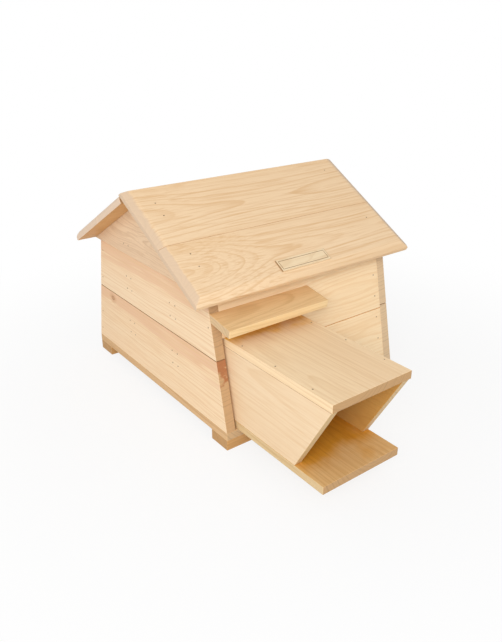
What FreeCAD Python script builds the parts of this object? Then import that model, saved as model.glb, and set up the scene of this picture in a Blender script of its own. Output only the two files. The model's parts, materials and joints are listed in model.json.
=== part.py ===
# Hedgehog house: a timber nest box with leaning front and back walls, an entrance tunnel that
# stands out at the front left, and a pitched roof whose rear half is a hinged lid.
# Millimetres. X runs along the ridge, the tunnel points to -Y, Z is up, and the origin is on the
# ground under the middle of the whole outline. Outlines are drawn about the middle of the house.
import FreeCAD, Part
import os
import Sketcher

Vector = FreeCAD.Vector
X_AXIS = Vector(1, 0, 0)

doc = FreeCAD.newDocument("HedgehogHouse")

# Driving dimensions, in millimetres and degrees

DIMENSIONS = (
    ("house_length", "400", "over the outer faces of both gables"),
    ("base_depth", "478", "front to back at the floor"),
    ("wall_lean", "12", "lean of the front and back walls from upright"),
    ("wall_board", "18", "thickness of gable and wall boards"),
    ("board_width", "124", "full width of a gable board"),
    ("middle_board", "100.5", "width of the ripped middle gable board"),
    ("wall_low_board", "119", "upright height of the lower front and back wall boards"),
    ("seam_gap", "0.8", "open seam above the lowest boards"),
    ("floor_board", "15", "thickness of the floor boards"),
    ("floor_count", "4", "floor boards side by side"),
    ("bearer_height", "19", "height of the bearers under the floor"),
    ("bearer_width", "46", "width of a bearer, front to back"),
    ("horn_reach", "25.3", "how far the gable top stands out past the wall line"),
    ("roof_pitch", "29.6", "pitch of both roof halves"),
    ("roof_board", "15", "thickness of the roof boards"),
    ("roof_width", "123.7", "width of a lower roof board, up the slope"),
    ("roof_seam", "0.35", "open seam between two roof boards"),
    ("roof_overhang", "38", "roof past the gable's outer face at each end"),
    ("eave_bevel_run", "14", "bevel along an eave, up the slope"),
    ("eave_bevel_depth", "8", "bevel along an eave, into the board"),
    ("end_bevel_run", "12", "bevel at a front roof board's end, along the board"),
    ("end_bevel_depth", "6", "bevel at a front roof board's end, into the board"),
    ("lid_bevel_run", "5", "bevel at a lid board's end, along the board"),
    ("lid_bevel_depth", "5", "bevel at a lid board's end, into the board"),
    ("lid_gap", "1", "gap between the lid and the bevelled ridge board"),
    ("lid_batten_width", "30", "width of a batten under the lid"),
    ("lid_batten_board", "15", "thickness of a batten under the lid"),
    ("lid_batten_inset", "95", "middle of a lid batten from the middle of the house"),
    ("lid_batten_margin", "20", "lid batten short of the lid's upper end"),
    ("lid_batten_clear", "12", "lid batten clear of the back wall's top"),
    ("cleat_width", "36", "width of a cleat inside a gable"),
    ("cleat_board", "18", "thickness of a cleat"),
    ("cleat_offset", "80", "middle of a cleat from the middle of the house"),
    ("cleat_lap", "42", "cleat above the seam of the gable top"),
    ("post_width", "24", "corner post along the wall"),
    ("post_depth", "20", "corner post square to the wall"),
    ("tunnel_board", "14", "thickness of the tunnel boards and the canopy"),
    ("tunnel_bore_width", "132", "clear width of the tunnel"),
    ("tunnel_bore_height", "129", "clear height of the tunnel"),
    ("tunnel_gap", "4.5", "gap between the tunnel and the left gable"),
    ("tunnel_fit", "1", "clearance of the wall boards round the tunnel"),
    ("tunnel_top_reach", "218", "tunnel top past the front of the floor"),
    ("tunnel_floor_reach", "209", "tunnel floor past the front of the floor"),
    ("tunnel_side_reach", "145", "foot of a tunnel side past the front of the floor"),
    ("tunnel_side_setback", "2", "top of a tunnel side behind the front of the top"),
    ("tunnel_seat", "105", "tunnel resting on the house floor"),
    ("canopy_rise", "46", "canopy's back edge above the tunnel top"),
    ("canopy_depth", "56", "canopy from the wall to its front edge"),
    ("canopy_slope", "9.5", "fall of the canopy"),
    ("canopy_past", "23", "canopy past the tunnel's right side"),
    ("plaque_length", "108", "name plate along the roof"),
    ("plaque_width", "25", "name plate up the roof"),
    ("plaque_board", "2.5", "thickness of the name plate"),
    ("plaque_rise", "16", "name plate's lower edge above the eave"),
    ("plaque_shift", "8", "name plate's middle left of the middle of the house"),
    ("border_inset", "3.5", "engraved border from the plate's edge"),
    ("border_width", "0.8", "width of the engraved border"),
    ("border_depth", "0.5", "depth of the engraved border"),
    ("hinge_length", "50", "length of a butt hinge"),
    ("hinge_inset", "130", "middle of a hinge from the middle of the house"),
    ("leaf_plate", "1", "thickness of a hinge leaf"),
    ("leaf_margin", "4.5", "hinge leaf short of the ridge"),
    ("barrel_radius", "1.9", "radius of the hinge barrel"),
    ("barrel_clear", "0.3", "barrel above the boards, and clear of the other leaf"),
    ("knuckle_gap", "0.3", "gap between two knuckles"),
    ("pin_radius", "1", "radius of the hinge pin"),
    ("pin_clear", "0.05", "radial clearance of the pin in its knuckles"),
    ("screw_spacing", "30", "between the two screws of a hinge leaf"),
    ("screw_radius", "1.2", "radius of a hinge screw's shank"),
    ("screw_head", "2.4", "radius of a hinge screw's head"),
    ("screw_length", "10", "length of a hinge screw"),
    ("screw_clear", "0.1", "clearance of a screw in its leaf"),
    ("nail_head", "1.3", "radius of a nail's head"),
    ("nail_head_height", "0.8", "height of a nail's head"),
    ("nail_shank", "0.8", "radius of a nail's shank"),
    ("nail_length", "40", "length of a nail"),
    ("nail_short", "26", "length of a nail that joins two thin boards"),
    ("nail_proud", "0.2", "how far a nail's head stands proud"),
    ("nail_set", "1", "depth of the nails punched into the bearers"),
    ("nail_row", "25", "step between two rows of nails"),
    ("nail_edge", "20", "nails from a board's edge"),
    ("nail_spread", "9", "nails on either side of a cleat's middle"),
    ("roof_nail_inset", "5", "roof nails behind a gable's outer face"),
)

dims = doc.addObject("Spreadsheet::Sheet", "Dims")
for row, (alias, value, meaning) in enumerate(DIMENSIONS, start=1):
    dims.set(f"A{row}", meaning)
    dims.set(f"B{row}", value)
    dims.setAlias(f"B{row}", alias)
doc.recompute()

# Places and sizes that follow from the driving dimensions

WORKED = (
    ("house_y", "Dims.tunnel_top_reach / 2"),
    ("gable_x", "Dims.house_length / 2"),
    ("inner_x", "gable_x - Dims.wall_board"),
    ("base_half", "Dims.base_depth / 2"),
    ("lean", "tan(Dims.wall_lean)"),
    ("wall_run", "Dims.wall_board / cos(Dims.wall_lean)"),
    ("post_run", "Dims.post_depth / cos(Dims.wall_lean)"),
    ("floor_top", "Dims.bearer_height + Dims.floor_board"),
    ("floor_width", "Dims.house_length / Dims.floor_count"),
    ("seam_low", "floor_top + Dims.board_width"),
    ("seam_rise", "seam_low + Dims.seam_gap"),
    ("seam_high", "seam_rise + Dims.middle_board"),
    ("half_low", "base_half - (seam_low - floor_top) * lean"),
    ("half_rise", "base_half - (seam_rise - floor_top) * lean"),
    ("half_high", "base_half - (seam_high - floor_top) * lean"),
    ("wall_low", "floor_top + Dims.wall_low_board"),
    ("wall_rise", "wall_low + Dims.seam_gap"),
    ("wall_half_low", "base_half - (wall_low - floor_top) * lean"),
    ("wall_half_rise", "base_half - (wall_rise - floor_top) * lean"),
    ("horn_half", "half_high + Dims.horn_reach"),
    ("rise", "tan(Dims.roof_pitch)"),
    ("pitch_sin", "sin(Dims.roof_pitch)"),
    ("pitch_cos", "cos(Dims.roof_pitch)"),
    ("apex", "seam_high + horn_half * rise"),
    ("ridge_top", "apex + Dims.roof_board / pitch_cos"),
    ("wall_top_out", "(base_half - (apex - floor_top) * lean) / (1 - rise * lean)"),
    ("wall_top_in", "(base_half - wall_run - (apex - floor_top) * lean) / (1 - rise * lean)"),
    ("roof_end", "gable_x + Dims.roof_overhang"),
    ("roof_length", "2 * roof_end"),
    ("roof_joint", "Dims.roof_width + Dims.roof_seam"),
    ("slope_ridge", "(horn_half + Dims.roof_board * pitch_sin) / pitch_cos"),
    ("slope_bevel", "(horn_half + Dims.roof_board / (2 * pitch_sin)) / pitch_cos"),
    ("bevel_width", "Dims.roof_board / sin(2 * Dims.roof_pitch)"),
    ("lid_length", "slope_ridge - bevel_width - Dims.lid_gap"),
    ("lid_batten_foot", "(horn_half - wall_top_in) / pitch_cos + Dims.lid_batten_clear"),
    ("lid_batten_length", "lid_length - Dims.lid_batten_margin - lid_batten_foot"),
    ("tunnel_left", "Dims.tunnel_gap - inner_x"),
    ("tunnel_width", "Dims.tunnel_bore_width + 2 * Dims.tunnel_board"),
    ("tunnel_right", "tunnel_left + tunnel_width"),
    ("tunnel_rear", "Dims.tunnel_seat - base_half"),
    ("tunnel_deck", "floor_top + Dims.tunnel_board"),
    ("tunnel_ceiling", "tunnel_deck + Dims.tunnel_bore_height"),
    ("tunnel_crown", "tunnel_ceiling + Dims.tunnel_board"),
    ("tunnel_mouth", "base_half + Dims.tunnel_top_reach"),
    ("tunnel_step", "base_half + Dims.tunnel_floor_reach"),
    ("tunnel_side_foot", "base_half + Dims.tunnel_side_reach"),
    ("tunnel_side_head", "tunnel_mouth - Dims.tunnel_side_setback"),
    ("notch_right", "tunnel_right + Dims.tunnel_fit"),
    ("notch_top", "tunnel_crown + Dims.tunnel_fit"),
    ("canopy_sin", "sin(Dims.canopy_slope)"),
    ("canopy_cos", "cos(Dims.canopy_slope)"),
    ("canopy_z", "tunnel_crown + Dims.canopy_rise"),
    ("canopy_y", "base_half - (canopy_z - floor_top) * lean"),
    ("canopy_slip", "Dims.tunnel_board * tan(Dims.wall_lean + Dims.canopy_slope)"),
    ("canopy_drop_y", "Dims.tunnel_board * canopy_sin"),
    ("canopy_drop_z", "Dims.tunnel_board * canopy_cos"),
    ("canopy_length", "gable_x + tunnel_right + Dims.canopy_past"),
    ("hinge_slope", "bevel_width + Dims.lid_gap / 2"),
    ("hinge_y", "hinge_slope * pitch_cos"),
    ("hinge_z", "ridge_top - hinge_slope * pitch_sin"),
    ("axis_height", "Dims.barrel_radius + Dims.barrel_clear"),
    ("leaf_reach", "hinge_slope - Dims.leaf_margin"),
    ("leaf_start", "Dims.barrel_radius + Dims.barrel_clear"),
    ("knuckle_step", "Dims.hinge_length / 5"),
    ("screw_row", "(leaf_start + leaf_reach) / 2"),
)

worked = doc.addObject("Spreadsheet::Sheet", "Worked")
for row, (alias, formula) in enumerate(WORKED, start=1):
    worked.set(f"A{row}", alias)
    worked.set(f"B{row}", f"={formula}")
    worked.setAlias(f"B{row}", alias)
    doc.recompute()


def size(alias):
    """A dimension's value, from whichever sheet holds it."""
    sheet = dims if alias in {entry[0] for entry in DIMENSIONS} else worked
    return float(sheet.get(alias))


# How the pieces are made

pieces = []


def keep(piece, label):
    """Names a finished sub-part and puts it on the list of pieces."""
    piece.Label = label
    pieces.append(piece)
    return piece


def bind(thing, **formulas):
    """Ties properties to the sheets; a double underscore stands for a dot."""
    for name, formula in formulas.items():
        thing.setExpression(name.replace("__", "."), formula)


def place(thing, x="0", y="0", z="0"):
    """Places a piece by its corner, in the frame of the house's own middle."""
    bind(thing, Placement__Base__x=x, Placement__Base__y=f"Worked.house_y + ({y})", Placement__Base__z=z)


def tilt(thing, angle):
    """Turns a piece about X to lie on a slope."""
    thing.Placement.Rotation = FreeCAD.Rotation(X_AXIS, 1)
    bind(thing, Placement__Rotation__Angle=angle)


def box(name, length, width, height):
    """A plain board or a cutting block."""
    block = doc.addObject("Part::Box", name)
    bind(block, Length=length, Width=width, Height=height)
    return block


def cylinder_along_x(name, radius, length):
    """A round bar that lies along X."""
    bar = doc.addObject("Part::Cylinder", name)
    bar.Placement.Rotation = FreeCAD.Rotation(Vector(0, 1, 0), 90)
    bind(bar, Radius=radius, Height=length)
    return bar


def pin_to_origin(sketch, vertex, kind, axis, formula):
    """Holds one coordinate of a corner at its formula."""
    if formula == "0":
        sketch.addConstraint(Sketcher.Constraint("PointOnObject", vertex, 1, axis))
        return
    value = float(sketch.evalExpression(formula))
    index = sketch.addConstraint(Sketcher.Constraint(kind, -1, 1, vertex, 1, value))
    bind(sketch, **{f"Constraints[{index}]": formula})


def profile_board(name, corners, length):
    """A board cut to an outline in Y and Z, and as thick or as long as its pad along X."""
    body = doc.addObject("PartDesign::Body", name)
    sketch = body.newObject("Sketcher::SketchObject", f"{name}_outline")
    plane = next(part for part in body.Origin.OriginFeatures if part.Role == "YZ_Plane")
    sketch.AttachmentSupport = (plane, "")
    sketch.MapMode = "FlatFace"
    points = [Vector(*(float(sketch.evalExpression(formula)) for formula in corner), 0) for corner in corners]
    for start, end in zip(points, points[1:] + points[:1]):
        sketch.addGeometry(Part.LineSegment(start, end))
    for line in range(len(corners)):
        following = (line + 1) % len(corners)
        sketch.addConstraint(Sketcher.Constraint("Coincident", line, 2, following, 1))
    for vertex, (across, up) in enumerate(corners):
        pin_to_origin(sketch, vertex, "DistanceX", -2, across)
        pin_to_origin(sketch, vertex, "DistanceY", -1, up)
    pad = body.newObject("PartDesign::Pad", f"{name}_pad")
    pad.Profile = sketch
    bind(pad, Length=length)
    return body


def cut(name, base, tool):
    """One piece with another taken out of it."""
    result = doc.addObject("Part::Cut", name)
    result.Base = base
    result.Tool = tool
    return result


def fuse(name, shapes):
    """Several shapes joined into one."""
    result = doc.addObject("Part::MultiFuse", name)
    result.Shapes = shapes
    result.Refine = True
    return result


# Bearers and floor: boards run front to back over two bearers

BEARERS = {"bearer_front": "-Worked.base_half", "bearer_rear": "Worked.base_half - Dims.bearer_width"}

for name, y in BEARERS.items():
    bearer = keep(box(name, "Dims.house_length", "Dims.bearer_width", "Dims.bearer_height"), name)
    place(bearer, "-Worked.gable_x", y)

for number in range(int(size("floor_count"))):
    name = f"floor_board_{number + 1}"
    floor = keep(box(name, "Worked.floor_width", "Dims.base_depth", "Dims.floor_board"), name)
    place(floor, f"{number} * Worked.floor_width - Worked.gable_x", "-Worked.base_half", "Dims.bearer_height")

# Gables: three boards each, edge to edge, the top one wider than the wall below it

GABLE_BOARDS = {
    "lower": (
        ("-Worked.base_half", "Worked.floor_top"),
        ("Worked.base_half", "Worked.floor_top"),
        ("Worked.half_low", "Worked.seam_low"),
        ("-Worked.half_low", "Worked.seam_low"),
    ),
    "middle": (
        ("-Worked.half_rise", "Worked.seam_rise"),
        ("Worked.half_rise", "Worked.seam_rise"),
        ("Worked.half_high", "Worked.seam_high"),
        ("-Worked.half_high", "Worked.seam_high"),
    ),
    "top": (
        ("-Worked.horn_half", "Worked.seam_high"),
        ("Worked.horn_half", "Worked.seam_high"),
        ("0", "Worked.apex"),
    ),
}
GABLE_SIDES = {"left": "-Worked.gable_x", "right": "Worked.inner_x"}

for side, x in GABLE_SIDES.items():
    for level, corners in GABLE_BOARDS.items():
        name = f"gable_{side}_{level}"
        place(keep(profile_board(name, corners, "Dims.wall_board"), name), x)

# Cleats: upright battens inside each gable that hold its three boards together

CLEAT_SIDES = {"left": "-Worked.inner_x", "right": "Worked.inner_x - Dims.cleat_board"}
CLEAT_ENDS = {"front": "-Dims.cleat_offset", "rear": "Dims.cleat_offset"}

for side, x in CLEAT_SIDES.items():
    for end, y in CLEAT_ENDS.items():
        name = f"gable_cleat_{side}_{end}"
        height = "Worked.seam_high + Dims.cleat_lap - Worked.floor_top"
        cleat = keep(box(name, "Dims.cleat_board", "Dims.cleat_width", height), name)
        place(cleat, x, f"{y} - Dims.cleat_width / 2", "Worked.floor_top")

# Front and back walls: two leaning boards each, the upper one bevelled to the roof


def wall_corners(facing, level):
    """The outline of a wall board: facing is - for the front and + for the back."""
    lower = (("base_half", "floor_top"), ("wall_half_low", "wall_low"))
    upper = (("wall_half_rise", "wall_rise"), None)
    (foot, foot_z), head = lower if level == "lower" else upper
    corners = [(f"Worked.{foot}", f"Worked.{foot_z}")]
    corners.append((f"Worked.{foot} - Worked.wall_run", f"Worked.{foot_z}"))
    if head:
        half, z = (f"Worked.{part}" for part in head)
        corners += [(f"{half} - Worked.wall_run", z), (half, z)]
    else:
        for half in ("Worked.wall_top_in", "Worked.wall_top_out"):
            corners.append((half, f"Worked.apex - {half} * Worked.rise"))
    return [(f"{facing}({across})", up) for across, up in corners]


for level in ("lower", "upper"):
    name = f"back_wall_{level}"
    back = keep(profile_board(name, wall_corners("", level), "2 * Worked.inner_x"), name)
    place(back, "-Worked.inner_x")

front_lower = profile_board(
    "front_wall_lower", wall_corners("-", "lower"), "Worked.inner_x - Worked.notch_right")
place(keep(front_lower, "front_wall_lower"), "Worked.notch_right")

front_blank = profile_board("front_wall_blank", wall_corners("-", "upper"), "2 * Worked.inner_x")
place(front_blank, "-Worked.inner_x")
tunnel_notch = box("tunnel_notch", "Worked.inner_x + Worked.notch_right", "Worked.base_half",
                   "Worked.notch_top - Worked.wall_low")
place(tunnel_notch, "-Worked.inner_x", "-Worked.base_half", "Worked.wall_low")
keep(cut("front_wall_upper", front_blank, tunnel_notch), "front_wall_upper")

# Corner posts: battens behind the wall ends, the front left one short above the tunnel


def post_corners(facing, foot_z):
    """The outline of a corner post, from foot_z up to the seam of the gable top."""
    inner = f"Worked.base_half - Worked.wall_run - ({foot_z} - Worked.floor_top) * Worked.lean"
    head = "Worked.half_high - Worked.wall_run"
    corners = (
        (inner, foot_z),
        (f"{inner} - Worked.post_run", foot_z),
        (f"{head} - Worked.post_run", "Worked.seam_high"),
        (head, "Worked.seam_high"),
    )
    return [(f"{facing}({across})", up) for across, up in corners]


POSTS = (
    ("corner_post_front_left", "-Worked.inner_x", "-", "Worked.notch_top"),
    ("corner_post_front_right", "Worked.inner_x - Dims.post_width", "-", "Worked.floor_top"),
    ("corner_post_back_left", "-Worked.inner_x", "", "Worked.floor_top"),
    ("corner_post_back_right", "Worked.inner_x - Dims.post_width", "", "Worked.floor_top"),
)

for name, x, facing, foot_z in POSTS:
    place(keep(profile_board(name, post_corners(facing, foot_z), "Dims.post_width"), name), x)

# Entrance tunnel: a floor, two sides cut back on a slant, and a top

tunnel_floor = box("tunnel_floor", "Worked.tunnel_width", "Worked.tunnel_step + Worked.tunnel_rear",
                   "Dims.tunnel_board")
place(keep(tunnel_floor, "tunnel_floor"), "Worked.tunnel_left", "-Worked.tunnel_step", "Worked.floor_top")

SIDE_CORNERS = (
    ("Worked.tunnel_rear", "Worked.tunnel_deck"),
    ("-Worked.tunnel_side_foot", "Worked.tunnel_deck"),
    ("-Worked.tunnel_side_head", "Worked.tunnel_ceiling"),
    ("Worked.tunnel_rear", "Worked.tunnel_ceiling"),
)
TUNNEL_SIDES = {"left": "Worked.tunnel_left", "right": "Worked.tunnel_right - Dims.tunnel_board"}

for side, x in TUNNEL_SIDES.items():
    name = f"tunnel_side_{side}"
    place(keep(profile_board(name, SIDE_CORNERS, "Dims.tunnel_board"), name), x)

tunnel_top = box("tunnel_top", "Worked.tunnel_width", "Worked.tunnel_mouth + Worked.tunnel_rear",
                 "Dims.tunnel_board")
place(keep(tunnel_top, "tunnel_top"), "Worked.tunnel_left", "-Worked.tunnel_mouth", "Worked.tunnel_ceiling")

# Canopy: a short sloping board over the tunnel, its back edge cut to the wall's lean

CANOPY_FRONT = ("-Worked.canopy_y - Dims.canopy_depth * Worked.canopy_cos",
                "Worked.canopy_z - Dims.canopy_depth * Worked.canopy_sin")
CANOPY_CORNERS = (
    ("-Worked.canopy_y", "Worked.canopy_z"),
    CANOPY_FRONT,
    (f"{CANOPY_FRONT[0]} + Worked.canopy_drop_y", f"{CANOPY_FRONT[1]} - Worked.canopy_drop_z"),
    ("-Worked.canopy_y + Worked.canopy_drop_y - Worked.canopy_slip * Worked.canopy_cos",
     "Worked.canopy_z - Worked.canopy_drop_z - Worked.canopy_slip * Worked.canopy_sin"),
)

canopy = profile_board("canopy_board", CANOPY_CORNERS, "Worked.canopy_length")
place(keep(canopy, "canopy_board"), "-Worked.gable_x")

# Front half of the roof: two boards nailed to the gables, the upper one bevelled along the ridge,
# the lower one along the eave, and both across their ends


def bevel_ends(name, blank, foot, width, run, depth):
    """A roof board with the upper edge of each end planed off on a slant."""
    slant = f"sqrt({run} ^ 2 + {depth} ^ 2)"
    angle = f"atan({depth} / {run})"
    ends = {
        "left": ("0", f"Dims.roof_board - {depth}", f"-{angle}"),
        "right": (f"Worked.roof_length - {run}", "Dims.roof_board", angle),
    }
    planes = []
    for end, (x, z, turn) in ends.items():
        plane = box(f"{name}_bevel_{end}", slant, f"{width} + 2 * {run}", depth)
        plane.Placement.Rotation = FreeCAD.Rotation(Vector(0, 1, 0), 1)
        bind(plane, Placement__Rotation__Angle=turn, Placement__Base__x=x,
             Placement__Base__y=f"{foot} - {run}", Placement__Base__z=z)
        planes.append(plane)
    return cut(name, blank, fuse(f"{name}_bevels", planes))


roof_lower = profile_board("roof_front_lower_blank", (
    ("0", "0"),
    ("Dims.roof_width", "0"),
    ("Dims.roof_width", "Dims.roof_board"),
    ("Dims.eave_bevel_run", "Dims.roof_board"),
    ("0", "Dims.roof_board - Dims.eave_bevel_depth"),
), "Worked.roof_length")
roof_upper = profile_board("roof_front_upper_blank", (
    ("Worked.roof_joint", "0"),
    ("Worked.slope_bevel", "0"),
    ("Worked.slope_ridge", "Dims.roof_board"),
    ("Worked.roof_joint", "Dims.roof_board"),
), "Worked.roof_length")

for name, blank, foot, width in (
    ("roof_front_lower", roof_lower, "0", "Dims.roof_width"),
    ("roof_front_upper", roof_upper, "Worked.roof_joint", "Worked.slope_ridge - Worked.roof_joint"),
):
    board = keep(bevel_ends(name, blank, foot, width, "Dims.end_bevel_run", "Dims.end_bevel_depth"), name)
    tilt(board, "Dims.roof_pitch")
    place(board, "-Worked.roof_end", "-Worked.horn_half", "Worked.seam_high")

# Name plate: a thin bare plate with one engraved border line

plate = box("plaque_plate", "Dims.plaque_length", "Dims.plaque_width", "Dims.plaque_board")
border_blocks = []
for edge, inset in (("outer", "Dims.border_inset"), ("inner", "Dims.border_inset + Dims.border_width")):
    block = box(f"border_{edge}", f"Dims.plaque_length - 2 * ({inset})", f"Dims.plaque_width - 2 * ({inset})",
                "Dims.plaque_board")
    bind(block, Placement__Base__x=inset, Placement__Base__y=inset,
         Placement__Base__z="Dims.plaque_board - Dims.border_depth")
    border_blocks.append(block)
plaque = keep(cut("plaque", plate, cut("border_groove", *border_blocks)), "plaque")
tilt(plaque, "Dims.roof_pitch")
place(
    plaque,
    "-Dims.plaque_shift - Dims.plaque_length / 2",
    "Dims.plaque_rise * Worked.pitch_cos - Dims.roof_board * Worked.pitch_sin - Worked.horn_half",
    "Worked.seam_high + Dims.plaque_rise * Worked.pitch_sin + Dims.roof_board * Worked.pitch_cos",
)

# Lid: the rear half of the roof, two boards held together by two battens underneath

lid_lower = profile_board("lid_lower_blank", (
    ("0", "0"),
    ("Dims.roof_width", "0"),
    ("Dims.roof_width", "Dims.roof_board - Dims.eave_bevel_depth"),
    ("Dims.roof_width - Dims.eave_bevel_run", "Dims.roof_board"),
    ("0", "Dims.roof_board"),
), "Worked.roof_length")
LID_UPPER_WIDTH = "Worked.lid_length - Worked.roof_joint"
lid_upper = box("lid_upper_blank", "Worked.roof_length", LID_UPPER_WIDTH, "Dims.roof_board")
LID_BOARDS = (
    ("lid_lower", lid_lower, "Dims.roof_width", "Dims.roof_width"),
    ("lid_upper", lid_upper, LID_UPPER_WIDTH, "Worked.lid_length"),
)


def on_lid(up, out):
    """The place, from the house's middle, of a point up the lid from the eave and out from its underside."""
    y = f"Worked.horn_half - ({up}) * Worked.pitch_cos + ({out}) * Worked.pitch_sin"
    z = f"Worked.seam_high + ({up}) * Worked.pitch_sin + ({out}) * Worked.pitch_cos"
    return y, z


for name, blank, width, head in LID_BOARDS:
    board = keep(bevel_ends(name, blank, "0", width, "Dims.lid_bevel_run", "Dims.lid_bevel_depth"), name)
    tilt(board, "-Dims.roof_pitch")
    place(board, "-Worked.roof_end", *on_lid(head, "0"))

for side, sign in (("left", "-"), ("right", "")):
    name = f"lid_batten_{side}"
    batten = box(name, "Dims.lid_batten_width", "Worked.lid_batten_length", "Dims.lid_batten_board")
    tilt(keep(batten, name), "-Dims.roof_pitch")
    head = "Worked.lid_batten_foot + Worked.lid_batten_length"
    place(batten, f"{sign}Dims.lid_batten_inset - Dims.lid_batten_width / 2",
          *on_lid(head, "-Dims.lid_batten_board"))

# Butt hinges: leaves on the outside of the rear slope, across the joint under the ridge

HINGE_SIDES = {"left": "-Dims.hinge_inset", "right": "Dims.hinge_inset"}
FIXED_KNUCKLES = (0, 2, 4)
LID_KNUCKLES = (1, 3)


def hinge_place(thing, x):
    """Lays a hinge part, made about the foot of its barrel, on the rear slope."""
    tilt(thing, "-Dims.roof_pitch")
    place(thing, f"({x}) - Dims.hinge_length / 2", "Worked.hinge_y", "Worked.hinge_z")


def hinge_leaf(name, knuckles, lid_side):
    """A leaf plate with its knuckles, bored for the pin and countersunk for two screws."""
    near = "Worked.leaf_start" if lid_side else "-Worked.leaf_reach"
    plate_width = "Worked.leaf_reach - Worked.leaf_start"
    plate = box(f"{name}_plate", "Dims.hinge_length", plate_width, "Dims.leaf_plate")
    bind(plate, Placement__Base__y=near)
    solids = [plate]
    for knuckle in knuckles:
        start = f"{knuckle} * Worked.knuckle_step + Dims.knuckle_gap / 2"
        length = "Worked.knuckle_step - Dims.knuckle_gap"
        tongue = box(f"{name}_tongue_{knuckle}", length, "Worked.leaf_start", "Dims.leaf_plate")
        bind(tongue, Placement__Base__x=start, Placement__Base__y="0" if lid_side else "-Worked.leaf_start")
        barrel = cylinder_along_x(f"{name}_knuckle_{knuckle}", "Dims.barrel_radius", length)
        bind(barrel, Placement__Base__x=start, Placement__Base__z="Worked.axis_height")
        solids += [tongue, barrel]
    bore = cylinder_along_x(f"{name}_bore", "Dims.pin_radius + Dims.pin_clear", "Dims.hinge_length")
    bind(bore, Placement__Base__z="Worked.axis_height")
    holes = [bore]
    for number, sign in enumerate("-+"):
        sink = doc.addObject("Part::Cone", f"{name}_countersink_{number}")
        bind(
            sink,
            Radius1="Dims.screw_radius + Dims.screw_clear",
            Radius2="Dims.screw_head + Dims.screw_clear",
            Height="Dims.leaf_plate",
            Placement__Base__x=f"Dims.hinge_length / 2 {sign} Dims.screw_spacing / 2",
            Placement__Base__y="Worked.screw_row" if lid_side else "-Worked.screw_row",
        )
        holes.append(sink)
    return cut(name, fuse(f"{name}_body", solids), fuse(f"{name}_holes", holes))


for side, x in HINGE_SIDES.items():
    for name, knuckles, lid_side in (
        (f"hinge_{side}_ridge_leaf", FIXED_KNUCKLES, False),
        (f"hinge_{side}_lid_leaf", LID_KNUCKLES, True),
    ):
        hinge_place(keep(hinge_leaf(name, knuckles, lid_side), name), x)
    pin = cylinder_along_x(f"hinge_{side}_pin", "Dims.pin_radius", "Dims.hinge_length")
    place(
        keep(pin, f"hinge_{side}_pin"),
        f"({x}) - Dims.hinge_length / 2",
        "Worked.hinge_y + Worked.axis_height * Worked.pitch_sin",
        "Worked.hinge_z + Worked.axis_height * Worked.pitch_cos",
    )

doc.recompute()

# Nails and screws: each group of like fasteners is one piece made of separate solids


def turned(outline):
    """A solid turned about Z from an outline of radius and height."""
    points = [Vector(radius, 0, height) for radius, height in outline]
    face = Part.Face(Part.makePolygon(points + points[:1]))
    return face.revolve(Vector(0, 0, 0), Vector(0, 0, 1), 360)


def nail(length):
    """A flat-headed nail that points down from the top of its head."""
    head, shank, height = size("nail_head"), size("nail_shank"), size("nail_head_height")
    return turned(((0, 0), (head, 0), (head, -height), (shank, -height), (shank, -length), (0, -length)))


def screw():
    """A countersunk screw that points down from the top of its head."""
    head, shank = size("screw_head"), size("screw_radius")
    sink, length = size("leaf_plate"), size("screw_length")
    return turned(((0, 0), (head, 0), (shank, -sink), (shank, -length), (0, -length)))


def fasteners(label, solid, seats):
    """A group of fasteners; each seat is the place of a head's top and the way the point goes."""
    group = doc.addObject("Part::Feature", label)
    solids = []
    for seat, way in seats:
        one = solid.copy()
        one.Placement = FreeCAD.Placement(seat, FreeCAD.Rotation(Vector(0, 0, -1), way))
        solids.append(one)
    group.Shape = Part.makeCompound(solids)
    group.Placement = FreeCAD.Placement(Vector(0, size("house_y"), 0), FreeCAD.Rotation())
    return keep(group, label)


def nails(label, length, seats):
    """Nails whose heads stand a little proud of the face that each seat lies on."""
    proud = size("nail_proud")
    fasteners(label, nail(length), [(seat - way * proud, way) for seat, way in seats])


def wall_half(z):
    """Half the depth of the house over the wall faces at a height."""
    return size("base_half") - (z - size("floor_top")) * size("lean")


edge = size("nail_edge")
row = size("nail_row")
gable_x = size("gable_x")
inner_x = size("inner_x")
base_half = size("base_half")
lower_middle = (size("floor_top") + size("seam_low")) / 2
middle_low = (size("seam_rise") + size("seam_high")) / 2 - edge
up = Vector(0, 0, 1)

cleat_rows = (lower_middle, lower_middle + row, middle_low, middle_low + row, size("seam_high") + edge)
nails("gable_cleat_nails", size("nail_short"), [
    (Vector(side * gable_x, end * size("cleat_offset") + offset, z), Vector(-side, 0, 0))
    for side in (-1, 1)
    for end in (-1, 1)
    for z in cleat_rows
    for offset in (-size("nail_spread"), size("nail_spread"))
])

full_rows = (size("floor_top") + edge, lower_middle, size("seam_rise") + edge, size("seam_high") - edge)
short_rows = (size("notch_top") + edge, size("seam_high") - edge / 2)
wall_ends = ((-1, 1, full_rows), (1, 1, full_rows), (1, -1, full_rows), (-1, -1, short_rows))
nails("wall_end_nails", size("nail_length"), [
    (Vector(side * gable_x, facing * (wall_half(z) - size("wall_run") / 2), z), Vector(-side, 0, 0))
    for side, facing, rows in wall_ends
    for z in rows
])

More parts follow.
